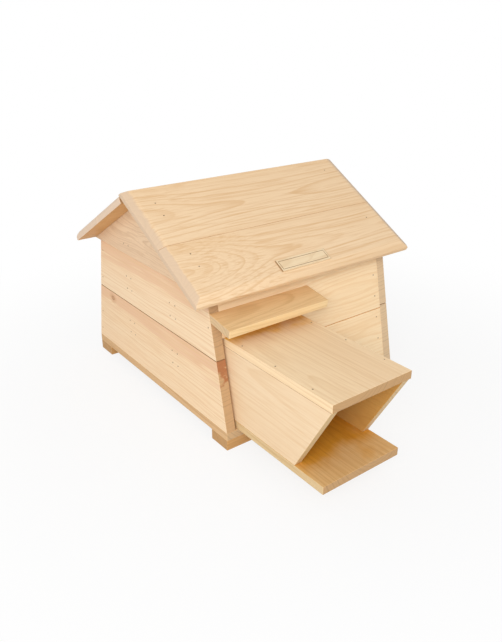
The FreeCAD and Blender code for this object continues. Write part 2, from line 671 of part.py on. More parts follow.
post_x = inner_x - size("post_width") / 2
face_rows = (lower_middle, size("seam_low") - edge, size("seam_rise") + edge, size("seam_rise") + 3 * edge)
lean_way = FreeCAD.Rotation(X_AXIS, size("wall_lean")).multVec(Vector(0, -1, 0))
canopy_rows = (size("notch_top") + edge / 2, size("notch_top") + 1.4 * edge)
for wall, facing, ends in (
    ("front_wall", -1, ((-1, canopy_rows), (1, face_rows))),
    ("back_wall", 1, ((-1, face_rows), (1, face_rows))),
):
    inward = Vector(0, lean_way.y * facing, lean_way.z)
    nails(f"{wall}_nails", size("nail_short"), [
        (Vector(side * post_x, facing * wall_half(z), z), inward)
        for side, rows in ends
        for z in rows
    ])

roof_down = Vector(0, size("pitch_sin"), -size("pitch_cos"))
roof_up = Vector(0, size("pitch_cos"), size("pitch_sin"))
roof_eave = Vector(0, -size("horn_half"), size("seam_high")) - roof_down * size("roof_board")
upper_width = size("slope_ridge") - size("roof_joint")
lower_seats = {-1: (0.56, 0.79), 1: (0.7,)}
upper_seats = {-1: (0.48, 0.71), 1: (0.77,)}
roof_x = gable_x - size("roof_nail_inset")
nails("roof_nails", size("nail_length"), [
    (roof_eave + Vector(side * roof_x, 0, 0) + roof_up * distance, roof_down)
    for side in (-1, 1)
    for distance in [share * size("roof_width") for share in lower_seats[side]]
    + [size("roof_joint") + share * upper_width for share in upper_seats[side]]
])

lid_rows = (
    size("lid_batten_foot") + edge / 2,
    size("roof_width") - edge,
    size("roof_joint") + edge,
    size("lid_length") - size("lid_batten_margin") - edge / 2,
)
lid_eave = Vector(0, size("horn_half"), size("seam_high"))
lid_out = Vector(0, size("pitch_sin"), size("pitch_cos"))
lid_up = Vector(0, -size("pitch_cos"), size("pitch_sin"))
lid_face = lid_eave + lid_out * size("roof_board")
nails("lid_nails", size("nail_short"), [
    (Vector(side * size("lid_batten_inset"), 0, 0) + lid_face + lid_up * distance, -lid_out)
    for side in (-1, 1)
    for distance in lid_rows
])

bearer_y = base_half - size("bearer_width") / 2
nails("bearer_nails", size("bearer_height") + size("floor_board") - 2 * size("nail_set"), [
    (Vector((number + 0.5) * size("floor_width") - gable_x + offset, end * bearer_y, size("nail_set")), up)
    for number in range(int(size("floor_count")))
    for end in (-1, 1)
    for offset in (-row, row)
])

clear_half = base_half - size("bearer_width")
nails("gable_foot_nails", size("nail_length"), [
    (Vector(side * (gable_x + inner_x) / 2, share * clear_half, size("bearer_height")), up)
    for side in (-1, 1)
    for share in (-0.8, -0.25, 0.25, 0.8)
])

side_lines = (size("tunnel_left") + size("tunnel_board") / 2, size("tunnel_right") - size("tunnel_board") / 2)
top_run = size("tunnel_top_reach")
nails("tunnel_top_nails", size("nail_length"), [
    (Vector(x, -base_half - share * top_run, size("tunnel_crown")), -up)
    for x in side_lines
    for share in (0.02, 0.4, 0.78)
])
nails("tunnel_floor_nails", size("nail_length"), [
    (Vector(x, -base_half - share * size("tunnel_side_reach"), size("floor_top")), up)
    for x in side_lines
    for share in (0.12, 0.5, 0.88)
])
seat_run = clear_half + size("tunnel_rear")
nails("tunnel_seat_nails", size("nail_short"), [
    (Vector(size("tunnel_left") + across * size("tunnel_width"), share * seat_run - clear_half,
            size("bearer_height")), up)
    for across in (0.25, 0.75)
    for share in (0.3, 0.7)
])

canopy_way = Vector(0, -size("canopy_cos"), -size("canopy_sin"))
canopy_drop = Vector(0, size("canopy_drop_y"), -size("canopy_drop_z"))
canopy_middle = (Vector(0, -size("canopy_y"), size("canopy_z"))
                 + (canopy_drop + canopy_way * size("canopy_slip")) * 0.5)
wall_through = size("wall_run") / (size("canopy_cos") - size("lean") * size("canopy_sin"))
canopy_seat = canopy_middle - canopy_way * wall_through
nails("canopy_nails", size("nail_length"), [
    (canopy_seat + Vector(share * size("canopy_length") - gable_x, 0, 0), canopy_way)
    for share in (0.3, 0.6, 0.9)
])

hinge_foot = Vector(0, size("hinge_y"), size("hinge_z")) + lid_out * size("leaf_plate")
for label, upward in (("hinge_ridge_screws", 1), ("hinge_lid_screws", -1)):
    screw_line = hinge_foot + lid_up * upward * size("screw_row")
    fasteners(label, screw(), [
        (screw_line + X_AXIS * (side * size("hinge_inset") + end * size("screw_spacing") / 2), -lid_out)
        for side in (-1, 1)
        for end in (-1, 1)
    ])

# Check and write every piece

doc.recompute()
for thing in doc.Objects:
    faults = {"Invalid", "Error"} & set(thing.State)
    if faults:
        raise RuntimeError(f"{thing.Label} failed to build: {faults}")
for piece in pieces:
    if piece.Shape.isNull() or not piece.Shape.isValid():
        raise RuntimeError(f"{piece.Label} has no valid shape")

os.makedirs("parts", exist_ok=True)
for piece in pieces:
    piece.Shape.exportStep(f"parts/{piece.Label}.step")
print(f"{len(pieces)} pieces written")
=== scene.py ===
import json
import math
import bmesh
import bpy
from mathutils import Matrix, Vector

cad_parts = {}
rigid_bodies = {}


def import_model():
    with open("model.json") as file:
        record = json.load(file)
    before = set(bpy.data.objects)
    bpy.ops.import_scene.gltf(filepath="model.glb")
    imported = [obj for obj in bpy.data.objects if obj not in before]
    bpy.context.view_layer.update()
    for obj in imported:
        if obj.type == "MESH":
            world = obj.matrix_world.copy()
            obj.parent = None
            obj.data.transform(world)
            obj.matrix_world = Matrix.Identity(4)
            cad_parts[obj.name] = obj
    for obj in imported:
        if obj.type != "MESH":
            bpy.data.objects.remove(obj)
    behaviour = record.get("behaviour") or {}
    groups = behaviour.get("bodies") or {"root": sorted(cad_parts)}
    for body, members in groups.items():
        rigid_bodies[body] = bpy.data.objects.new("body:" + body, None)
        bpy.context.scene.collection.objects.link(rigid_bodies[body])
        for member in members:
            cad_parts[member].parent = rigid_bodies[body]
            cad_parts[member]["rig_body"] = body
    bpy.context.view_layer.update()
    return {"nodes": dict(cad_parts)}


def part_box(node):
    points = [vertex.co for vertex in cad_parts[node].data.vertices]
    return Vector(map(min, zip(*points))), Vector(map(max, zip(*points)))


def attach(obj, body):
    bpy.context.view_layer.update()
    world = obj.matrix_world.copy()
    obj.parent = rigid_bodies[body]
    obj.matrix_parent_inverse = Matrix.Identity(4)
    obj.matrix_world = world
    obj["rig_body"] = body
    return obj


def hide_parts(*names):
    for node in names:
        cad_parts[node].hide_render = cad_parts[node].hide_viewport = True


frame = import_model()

# Bearers and floor
# Two planed softwood battens carry the house off the ground, and four boards run from front to back
# over them. The boards are nailed to the battens from below, so no heads show on the floor.

X = Vector((1, 0, 0))
Y = Vector((0, 1, 0))
Z = Vector((0, 0, 1))


def add(tree, kind, inputs=(), **settings):
    """Adds a node, sets it up, and feeds its inputs with values or with other nodes' outputs."""
    node = tree.nodes.new(kind)
    for name, value in settings.items():
        setattr(node, name, value)
    for socket, value in dict(inputs).items():
        if isinstance(value, bpy.types.NodeSocket):
            tree.links.new(value, node.inputs[socket])
        else:
            node.inputs[socket].default_value = value
    return node


def calc(tree, operation, first, second=0.0):
    """The number that one sum on two numbers gives."""
    return add(tree, "ShaderNodeMath", {0: first, 1: second}, operation=operation).outputs[0]


def vector_calc(tree, operation, first, second=(0, 0, 0)):
    """The vector that one sum on two vectors gives."""
    return add(tree, "ShaderNodeVectorMath", {0: first, 1: second}, operation=operation).outputs["Vector"]


def measure(tree, operation, first, second=(0, 0, 0)):
    """The number that one sum on two vectors gives, such as a length."""
    return add(tree, "ShaderNodeVectorMath", {0: first, 1: second}, operation=operation).outputs["Value"]


def noise(tree, place, scale, detail=2.0):
    """Cloudy noise, which gives a number first and a colour second."""
    return add(tree, "ShaderNodeTexNoise", {"Vector": place, "Scale": scale, "Detail": detail}).outputs


def stretched_noise(tree, place, scale, detail=2.0):
    """Noise drawn out by a different scale along each direction of a board."""
    return noise(tree, vector_calc(tree, "MULTIPLY", place, scale), 1.0, detail)


def swing(tree, value, spread):
    """Noise made to swing about nought, over the given spread."""
    return calc(tree, "MULTIPLY", calc(tree, "SUBTRACT", value, 0.5), spread)


def ease_between(tree, value, low, high, start=0.0, end=1.0):
    """A soft step from start to end as the value goes from low to high."""
    ends = {"Value": value, "From Min": low, "From Max": high, "To Min": start, "To Max": end}
    return add(tree, "ShaderNodeMapRange", ends, interpolation_type="SMOOTHSTEP").outputs[0]


def tint(tree, share, under, over, blend="MIX"):
    """One colour laid over another. The mixer's colour sockets go by number, because their names repeat."""
    layers = {0: share, 6: under, 7: over}
    return add(tree, "ShaderNodeMix", layers, data_type="RGBA", blend_type=blend).outputs[2]


def group(name, inputs, outputs):
    """An empty shader node group with named sockets."""
    tree = bpy.data.node_groups.new(name, "ShaderNodeTree")
    for socket, kind in inputs.items():
        tree.interface.new_socket(socket, in_out="INPUT", socket_type=f"NodeSocket{kind}")
    for socket in outputs:
        tree.interface.new_socket(socket, in_out="OUTPUT", socket_type="NodeSocketFloat")
    return tree, tree.nodes.new("NodeGroupInput").outputs, tree.nodes.new("NodeGroupOutput").inputs


def make_growth_rings():
    """Growth rings round the heart of the log, in a board's own directions: X goes along the grain.

    Each ring darkens from early wood to a line of late wood, some lines fainter than others. The other
    masks are the fibres, broad patches, streaks and flecks that run along the grain.
    """
    inputs = {"Place": "Vector", "Ring Width": "Float", "Waver": "Float", "Swirl": "Float"}
    wander_shares = {(1.6, 5.0, 5.0): 1.0, (8.0, 30.0, 30.0): 0.14, (30.0, 110.0, 110.0): 0.035}
    width_change = 2.4
    width_change_scale = 0.37
    late_start = 0.50
    late_peak = 0.90
    faintest_line = 0.2
    mask_scales = {
        "Fibre": ((16.0, 820.0, 820.0), 3.0),
        "Broad": ((0.9, 16.0, 16.0), 2.0),
        "Streak": ((5.0, 90.0, 90.0), 3.0),
        "Fleck": ((9.0, 300.0, 300.0), 4.0),
    }
    tree, given, out = group("growth_rings", inputs, ("Radius", "Latewood", *mask_scales))
    bent = given["Place"]
    for scale, share in wander_shares.items():
        drift = stretched_noise(tree, given["Place"], scale)[1]
        centred = vector_calc(tree, "SUBTRACT", drift, (0.5, 0.5, 0.5))
        sway = calc(tree, "MULTIPLY", given["Waver"], share)
        moved = add(tree, "ShaderNodeVectorMath", {0: centred, "Scale": sway}, operation="SCALE")
        bent = vector_calc(tree, "ADD", bent, moved.outputs["Vector"])
    away = measure(tree, "LENGTH", vector_calc(tree, "MULTIPLY", bent, (0, 1, 1)))
    radius = calc(tree, "ADD", away, given["Swirl"])
    rings = calc(tree, "DIVIDE", radius, given["Ring Width"])
    change = {"W": rings, "Scale": width_change_scale, "Detail": 1.0}
    uneven = add(tree, "ShaderNodeTexNoise", change, noise_dimensions="1D").outputs[0]
    rings = calc(tree, "ADD", rings, calc(tree, "MULTIPLY", uneven, width_change))
    within = calc(tree, "FRACT", rings)
    rise = ease_between(tree, within, late_start, late_peak)
    fall = ease_between(tree, within, late_peak, 1.0, 1.0, 0.0)
    number = {"W": calc(tree, "FLOOR", rings)}
    chance = add(tree, "ShaderNodeTexWhiteNoise", number, noise_dimensions="1D").outputs["Value"]
    depth = ease_between(tree, chance, 0.0, 1.0, faintest_line, 1.0)
    late = calc(tree, "MULTIPLY", calc(tree, "MULTIPLY", rise, fall), depth)
    tree.links.new(radius, out["Radius"])
    tree.links.new(late, out["Latewood"])
    for mask, (scale, detail) in mask_scales.items():
        tree.links.new(stretched_noise(tree, bent, scale, detail)[0], out[mask])
    return tree


GROWTH_RINGS = make_growth_rings()


def board_turn(along, across):
    """How a board lies: its grain direction, its width and its thickness, as a rotation."""
    return Matrix((along, across, along.cross(across))).transposed()


def facing_share(tree, coordinates, way, marks, fray=0.0):
    """How squarely the surface faces one way: nought below the first mark, one above the second."""
    facing = measure(tree, "DOT_PRODUCT", coordinates["Normal"], way)
    return ease_between(tree, calc(tree, "ADD", facing, fray), *marks)


def log_place(tree, coordinates, node, turn, heart, tilt):
    """A point's place in the log that a board was sawn from, measured from the log's heart.

    The heart lies so far across and so far up from the board's middle, and is tilted to the board by so
    many degrees.
    """
    low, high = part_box(node)
    middle = (low + high) / 2 + turn @ Vector((0, *heart))
    lie = (turn @ Matrix.Rotation(math.radians(tilt), 3, "Y")).to_euler()
    centring = {"Vector": coordinates["Object"], "Location": middle, "Rotation": lie}
    return add(tree, "ShaderNodeMapping", centring, vector_type="TEXTURE").outputs[0]


# Each kind of mark in the wood starts to show at the first of its levels, and shows in full at the second.
PATCH_LEVELS = (0.38, 0.70)
PATCH_SHARE = 0.8
FIBRE_LEVELS = (0.35, 0.75)
FIBRE_SHARE = 0.22
FLECK_LEVELS = (0.46, 0.72)
FLECK_SHARE = 0.55
END_MARKS = (0.5, 0.75)
END_FRAY = 0.35
END_LATE_SHADE = 0.62
ROUGHNESS_LEVELS = (0.2, 0.8)
ROUGHNESS = (0.66, 0.50)
FIBRE_RELIEF = 0.6
RELIEF_STRENGTH = 0.25
RELIEF_DEPTH = 0.0004
PINE_GLOSS = 0.25


def pine(node, along, across, wood, heart, tilt=0.0, ring=0.005, waver=0.03, lines=0.75, arches=(),
         red_reach=0.0, knots=(), painted_shade=None, faces=(), end_marks=END_MARKS, end_lines=0.45):
    """Planed pine for one board, in its wood's colours and as it was sawn from the log.

    A face is the way that it looks, the marks between which a surface comes to look that way, and the
    colour that the wood is multiplied by there; some faces are dark joints, and some carry painted shade or
    painted light. Arches, knots, red heartwood and painted shade are worked out by functions in the
    sections of the boards that first have them.
    """
    material = bpy.data.materials.new(f"{node}_pine")
    material.use_nodes = True
    tree = material.node_tree
    shader = tree.nodes["Principled BSDF"]
    coordinates = tree.nodes.new("ShaderNodeTexCoord").outputs
    turn = board_turn(along, across)
    place = log_place(tree, coordinates, node, turn, heart, tilt)
    if arches:
        place = arched(tree, place, arches)
    swirl = 0.0
    if knots:
        swirl, core, halo = knot_masks(tree, coordinates, turn, knots)
    growth = {"Place": place, "Ring Width": ring, "Waver": waver, "Swirl": swirl}
    grown = add(tree, "ShaderNodeGroup", growth, node_tree=GROWTH_RINGS).outputs

    patches = ease_between(tree, grown["Broad"], *PATCH_LEVELS, 0.0, PATCH_SHARE)
    colour = tint(tree, patches, wood["pale"], wood["warm"])
    end_late = [END_LATE_SHADE * part for part in wood["end"][:3]] + [1]
    end_colour = tint(tree, calc(tree, "MULTIPLY", grown["Latewood"], end_lines), wood["end"], end_late)
    if red_reach:
        colour, end_colour = redden(tree, grown, colour, end_colour, wood, red_reach)
    late_shares = (
        calc(tree, "MULTIPLY", grown["Latewood"], lines),
        ease_between(tree, grown["Fibre"], *FIBRE_LEVELS, 0.0, FIBRE_SHARE),
        ease_between(tree, grown["Fleck"], *FLECK_LEVELS, 0.0, FLECK_SHARE),
    )
    for share in late_shares:
        colour = tint(tree, share, colour, wood["late"])
    if knots:
        colour = colour_knots(tree, colour, core, halo)
    # Painted shade: the colour is multiplied darker and warmer where shade falls on the board's upper face.
    if painted_shade:
        shade_share = painted_shade_share(tree, coordinates, along, **painted_shade)
        colour = tint(tree, shade_share, colour, wood["painted_shade"], "MULTIPLY")
    for way, marks, ratio in faces:
        colour = tint(tree, facing_share(tree, coordinates, way, marks), colour, ratio, "MULTIPLY")
    fray = swing(tree, grown["Streak"], END_FRAY)
    ends = [facing_share(tree, coordinates, way, end_marks, fray) for way in (along, -along)]
    colour = tint(tree, calc(tree, "MAXIMUM", *ends), colour, end_colour)
    tree.links.new(colour, shader.inputs["Base Color"])

    roughness = ease_between(tree, grown["Fibre"], *ROUGHNESS_LEVELS, *ROUGHNESS)
    tree.links.new(roughness, shader.inputs["Roughness"])
    fibres = calc(tree, "MULTIPLY", grown["Fibre"], FIBRE_RELIEF)
    relief = calc(tree, "SUBTRACT", fibres, grown["Latewood"])
    raised = {"Height": relief, "Strength": RELIEF_STRENGTH, "Distance": RELIEF_DEPTH}
    tree.links.new(add(tree, "ShaderNodeBump", raised).outputs["Normal"], shader.inputs["Normal"])
    shader.inputs["Specular IOR Level"].default_value = PINE_GLOSS
    return material


SAME_POINT = 1e-6
SAME_FACE = math.radians(1)
SHARP_ARRIS = math.radians(30)


def round_edges(shape, edges, width, segments):
    """Rounds edges off over the given width."""
    bmesh.ops.bevel(shape, geom=edges, offset=width, offset_type="OFFSET", segments=segments, profile=0.5,
                    affect="EDGES", material=-1, clamp_overlap=True)


def planed_board(node, finish, ease=0.0008, soften=0.0):
    """A CAD board with its arrises eased as sandpaper leaves them, and its bevels softened where asked."""
    source = frame["nodes"][node]
    shape = bmesh.new()
    shape.from_mesh(source.data)
    bmesh.ops.remove_doubles(shape, verts=shape.verts, dist=SAME_POINT)
    bmesh.ops.dissolve_limit(shape, angle_limit=SAME_FACE, verts=shape.verts, edges=shape.edges)
    if soften:
        soften_bevels(shape, soften)
    arrises = [edge for edge in shape.edges if edge.calc_face_angle(0) > SHARP_ARRIS]
    round_edges(shape, arrises, ease, segments=2)
    mesh = bpy.data.meshes.new(f"{node}_board")
    shape.to_mesh(mesh)
    shape.free()
    mesh.materials.append(finish)
    piece = bpy.data.objects.new(f"{node}_board", mesh)
    bpy.context.scene.collection.objects.link(piece)
    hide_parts(node)
    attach(piece, source["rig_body"])


SAWN_END = (0.62, 0.42, 0.23, 1)
BEARER_WOOD = {
    "pale": (0.64, 0.37, 0.15, 1),
    "late": (0.48, 0.25, 0.08, 1),
    "warm": (0.58, 0.32, 0.12, 1),
    "end": (0.520, 0.300, 0.125, 1),
}
BEARER_HEARTS = {"bearer_front": (0.04, -0.03), "bearer_rear": (-0.05, 0.03)}
for node, heart in BEARER_HEARTS.items():
    planed_board(node, pine(node, X, Y, BEARER_WOOD, heart))

FLOOR_WOOD = {
    "pale": (0.70, 0.46, 0.24, 1),
    "late": (0.56, 0.33, 0.15, 1),
    "warm": (0.64, 0.40, 0.19, 1),
    "end": SAWN_END,
}
FLOOR_TILT = 1.5
FLOOR_HEARTS = ((0.02, -0.07), (-0.03, 0.06), (0.05, -0.05), (0.01, 0.08))
for number, heart in enumerate(FLOOR_HEARTS, start=1):
    node = f"floor_board_{number}"
    planed_board(node, pine(node, Y, X, FLOOR_WOOD, heart, FLOOR_TILT))

# Gables
# Each end wall is three pine boards laid edge to edge, grain from front to back, and nailed to cleats
# inside. The lower two are cut to the walls' lean, and the top one is a triangle under the roof.


def make_knot():
    """A knot, in lengths of its own radius: its dark rim, the warm wood round it, and the bent grain."""
    ragged_scale = 1.7
    ragged_share = 0.5
    rim_reach = (0.45, 0.95)
    pale_middle = 0.35
    disc_reach = (0.9, 1.35)
    halo_reach = (1.2, 3.2)
    swirl_reach = (0.8, 4.5)
    tree, given, out = group("knot", {"Place": "Vector"}, ("Core", "Halo", "Swirl"))
    ragged = calc(tree, "MULTIPLY", noise(tree, given["Place"], ragged_scale)[0], ragged_share)
    away = calc(tree, "ADD", measure(tree, "LENGTH", given["Place"]), ragged)
    disc = ease_between(tree, away, *disc_reach, 1.0, 0.0)
    rim = ease_between(tree, away, *rim_reach, pale_middle, 1.0)
    tree.links.new(calc(tree, "MULTIPLY", disc, rim), out["Core"])
    tree.links.new(ease_between(tree, away, *halo_reach, 1.0, 0.0), out["Halo"])
    tree.links.new(ease_between(tree, away, *swirl_reach, 1.0, 0.0), out["Swirl"])
    return tree


KNOT = make_knot()
KNOT_STRETCH = 1.4
KNOT_DEPTH = 1000.0
KNOT_SWIRL = 1.8
KNOT_HALO = (0.60, 0.32, 0.16, 1)
KNOT_CORE = (0.42, 0.21, 0.10, 1)
HALO_SHARE = 0.5
CORE_SHARE = 0.9


def knot_masks(tree, coordinates, turn, knots):
    """The bent grain, the dark cores and the warm wood of a board's knots, each a spot and a radius.

    A knot is drawn out along the grain, and goes right through its board.
    """
    swirl, core, halo = 0.0, 0.0, 0.0
    for spot, radius in knots:
        centring = {
            "Vector": coordinates["Object"],
            "Location": spot,
            "Rotation": turn.to_euler(),
            "Scale": (radius * KNOT_STRETCH, radius, KNOT_DEPTH),
        }
        near = add(tree, "ShaderNodeMapping", centring, vector_type="TEXTURE").outputs[0]
        knot = add(tree, "ShaderNodeGroup", {"Place": near}, node_tree=KNOT).outputs
        swirl = calc(tree, "ADD", calc(tree, "MULTIPLY", knot["Swirl"], radius * KNOT_SWIRL), swirl)
        core = calc(tree, "MAXIMUM", knot["Core"], core)
        halo = calc(tree, "MAXIMUM", knot["Halo"], halo)
    return swirl, core, halo


def colour_knots(tree, colour, core, halo):
    """Warms the wood round a board's knots, and darkens their cores."""
    colour = tint(tree, calc(tree, "MULTIPLY", halo, HALO_SHARE), colour, KNOT_HALO)
    return tint(tree, calc(tree, "MULTIPLY", core, CORE_SHARE), colour, KNOT_CORE)


def redden(tree, grown, colour, end_colour, wood, red_reach):
    """Lays red heartwood over a board's faces and ends, ragged at its reach, with paler threads in it."""
    ragged = 0.09
    inner, outer = 0.011, 0.008
    end_inner, end_outer = 0.014, 0.002
    end_share = 0.85
    thread_levels = (0.30, 0.56)
    palest_thread = 0.60
    edge = calc(tree, "ADD", grown["Radius"], swing(tree, grown["Streak"], ragged))
    redness = ease_between(tree, edge, red_reach - inner, red_reach + outer, 1.0, 0.0)
    threads = ease_between(tree, grown["Streak"], *thread_levels, palest_thread, 1.0)
    colour = tint(tree, calc(tree, "MULTIPLY", redness, threads), colour, wood["red"])
    if "red_end" in wood:
        redness = ease_between(tree, edge, red_reach - end_inner, red_reach + end_outer, end_share, 0.0)
        end_colour = tint(tree, redness, end_colour, wood["red_end"])
    return colour, end_colour


GABLE_WOODS = {
    "lower": {
        "pale": (0.910, 0.700, 0.465, 1),
        "late": (0.770, 0.505, 0.275, 1),
        "warm": (0.890, 0.655, 0.420, 1),
    },
    "middle": {
        "pale": (0.915, 0.710, 0.480, 1),
        "late": (0.775, 0.515, 0.290, 1),
        "warm": (0.890, 0.655, 0.425, 1),
    },
    "top": {
        "pale": (0.845, 0.625, 0.415, 1),
        "late": (0.640, 0.430, 0.260, 1),
        "warm": (0.785, 0.560, 0.365, 1),
    },
}
GABLE_RED = (0.800, 0.515, 0.325, 1)
GABLE_RED_ENDS = {"gable_left_lower": (0.400, 0.145, 0.055, 1)}
GABLE_ENDS = {"left": (0.560, 0.355, 0.185, 1), "right": (0.710, 0.515, 0.315, 1)}
GABLE_GROWTH = {
    "lower": {"tilt": 1.6, "ring": 0.0045, "waver": 0.020, "red_reach": 0.042},
    "middle": {"tilt": 0.6, "ring": 0.0045, "waver": 0.020, "red_reach": 0.036},
    "top": {"tilt": 2.0, "ring": 0.0042, "waver": 0.110},
}
GABLE_HEARTS = {"lower": (0.068, -0.012), "middle": (0.056, -0.010), "top": (-0.010, -0.022)}
GABLE_HEART_SHIFTS = {"left": 0.0, "right": 0.004}
GABLE_KNOTS = {"gable_left_lower": ((Vector((-0.2, 0.268, 0.145)), 0.005),)}
EDGE_MARKS = (0.3, 0.6)
SEAM_DIRT = (0.46, 0.34, 0.25, 1)
GABLE_SEAMS = {
    "lower": ((Z, EDGE_MARKS, SEAM_DIRT),),
    "middle": ((-Z, EDGE_MARKS, SEAM_DIRT),),
    "top": (),
}
for side, shift in GABLE_HEART_SHIFTS.items():
    for level, growth in GABLE_GROWTH.items():
        node = f"gable_{side}_{level}"
        wood = {**GABLE_WOODS[level], "red": GABLE_RED, "end": GABLE_ENDS[side]}
        if node in GABLE_RED_ENDS:
            wood["red_end"] = GABLE_RED_ENDS[node]
        across, up = GABLE_HEARTS[level]
        finish = pine(node, Y, Z, wood, (across + shift, up), knots=GABLE_KNOTS.get(node, ()),
                      faces=GABLE_SEAMS[level], **growth)
        planed_board(node, finish)

# Cleats
# Upright battens of rougher pine inside the gables, two to a gable. They are nailed through from
# outside, and tie the gable's boards together.

CLEAT_WOOD = {
    "pale": (0.78, 0.55, 0.32, 1),
    "late": (0.62, 0.38, 0.19, 1),
    "warm": (0.72, 0.47, 0.26, 1),
    "end": SAWN_END,
}
CLEAT_HEARTS = {"front": (0.03, -0.04), "rear": (-0.04, 0.05)}
for side in ("left", "right"):
    for end, heart in CLEAT_HEARTS.items():
        node = f"gable_cleat_{side}_{end}"
        planed_board(node, pine(node, Z, Y, CLEAT_WOOD, heart))

# Front and back walls
# Two leaning pine boards each, nailed to posts at their ends, the upper one bevelled under the roof. At
# the front the lower one stops beside the tunnel, and the upper one is notched to pass over it.

WALL_LEAN = math.radians(12)
WALL_FACES = {"front": 1, "back": -1}


def up_the_wall(inward):
    """Up along a leaning wall, which goes in towards the ridge as it rises."""
    return Vector((0, inward * math.sin(WALL_LEAN), math.cos(WALL_LEAN)))


def arched(tree, place, arches):
    """Brings the log's heart nearer at some spots along a board, so that the rings close in arches there.

    An arch is its spot, how far it reaches along the board, and how far the heart is lifted.
    """
    axes = add(tree, "ShaderNodeSeparateXYZ", {"Vector": place}).outputs
    height = axes["Z"]
    for spot, reach, lift in arches:
        away = calc(tree, "ABSOLUTE", calc(tree, "SUBTRACT", axes["X"], spot))
        height = calc(tree, "SUBTRACT", height, ease_between(tree, away, 0.0, reach, lift, 0.0))
    return add(tree, "ShaderNodeCombineXYZ", {"X": axes["X"], "Y": axes["Y"], "Z": height}).outputs[0]


WALL_WOOD = {
    "pale": (0.955, 0.745, 0.480, 1),
    "late": (0.860, 0.590, 0.320, 1),
    "warm": (0.935, 0.695, 0.430, 1),
    "end": SAWN_END,
}
WALL_SEAM = (0.90, 0.66, 0.40, 1)
WALL_TILT = 2.0
WALL_HEARTS = {"lower": (0.02, 0.05), "upper": (-0.02, 0.04)}
WALL_ARCHES = {"lower": -0.12, "upper": 0.10}
ARCH_REACH = 0.16
ARCH_LIFT = -0.010
SEAM_SIDES = {"lower": 1, "upper": -1}
for face, inward in WALL_FACES.items():
    up_wall = up_the_wall(inward)
    for level, heart in WALL_HEARTS.items():
        node = f"{face}_wall_{level}"
        arch = (WALL_ARCHES[level] * inward, ARCH_REACH, ARCH_LIFT)
        seam = (SEAM_SIDES[level] * up_wall, EDGE_MARKS, WALL_SEAM)
        finish = pine(node, X, up_wall, WALL_WOOD, heart, WALL_TILT, arches=(arch,), faces=(seam,))
        planed_board(node, finish)

# Corner posts
# Battens behind the ends of the walls, set to the walls' lean, for the wall nails to bite into. They
# are sawn from the same rougher pine as the cleats.

POST_HEARTS = {"left": (0.03, 0.03), "right": (-0.03, 0.04)}
for face, inward in WALL_FACES.items():
    for side, heart in POST_HEARTS.items():
        node = f"corner_post_{face}_{side}"
        planed_board(node, pine(node, up_the_wall(inward), X, CLEAT_WOOD, heart))

# Entrance tunnel
# A square pipe of four thinner pine boards through the front wall, nailed together at its corners. The
# sides are cut back on a slant below the top, and the floor stands out in front as a doorstep.

# Painted shade: the tunnel floor deep inside and the tunnel top under the canopy are multiplied darker and
# warmer, with a wavy edge, where shade falls there.
PAINTED_SHADE_WAVE = 0.10
PAINTED_SHADE_WAVE_SCALE = 26.0
PAINTED_SHADE_FADE = 0.02
FLAT_MARKS = (0.5, 0.9)


def painted_shade_share(tree, coordinates, along, start, full, until):
    """How much painted shade a board's upper face takes: from a wavy start, then in full, and none past its
    end.
    """
    reach = measure(tree, "DOT_PRODUCT", coordinates["Object"], along)
    wave = swing(tree, noise(tree, coordinates["Object"], PAINTED_SHADE_WAVE_SCALE)[0], PAINTED_SHADE_WAVE)
    begun = ease_between(tree, calc(tree, "ADD", reach, wave), start, full)
    ended = ease_between(tree, reach, until, until + PAINTED_SHADE_FADE, 1.0, 0.0)
    upper = facing_share(tree, coordinates, Z, FLAT_MARKS)
    return calc(tree, "MULTIPLY", calc(tree, "MULTIPLY", begun, ended), upper)


TUNNEL_END = (0.540, 0.325, 0.150, 1)
STEP_WOOD = {
    "pale": (0.770, 0.490, 0.215, 1),
    "late": (0.600, 0.330, 0.110, 1),
    "warm": (0.710, 0.425, 0.165, 1),
    "end": TUNNEL_END,
    # painted shade for the floor deep inside the tunnel
    "painted_shade": (0.91, 0.67, 0.16, 1),
}
SIDE_WOOD = {
    "pale": (0.865, 0.665, 0.442, 1),
    "late": (0.770, 0.535, 0.310, 1),
    "warm": (0.835, 0.615, 0.388, 1),
    "end": (0.690, 0.490, 0.255, 1),
}
TOP_WOOD = {
    "pale": (0.930, 0.710, 0.450, 1),
    "late": (0.770, 0.525, 0.290, 1),
    "warm": (0.875, 0.635, 0.390, 1),
    "end": TUNNEL_END,
    # painted shade for the top where the canopy shades it
    "painted_shade": (1.00, 0.80, 0.27, 1),
}
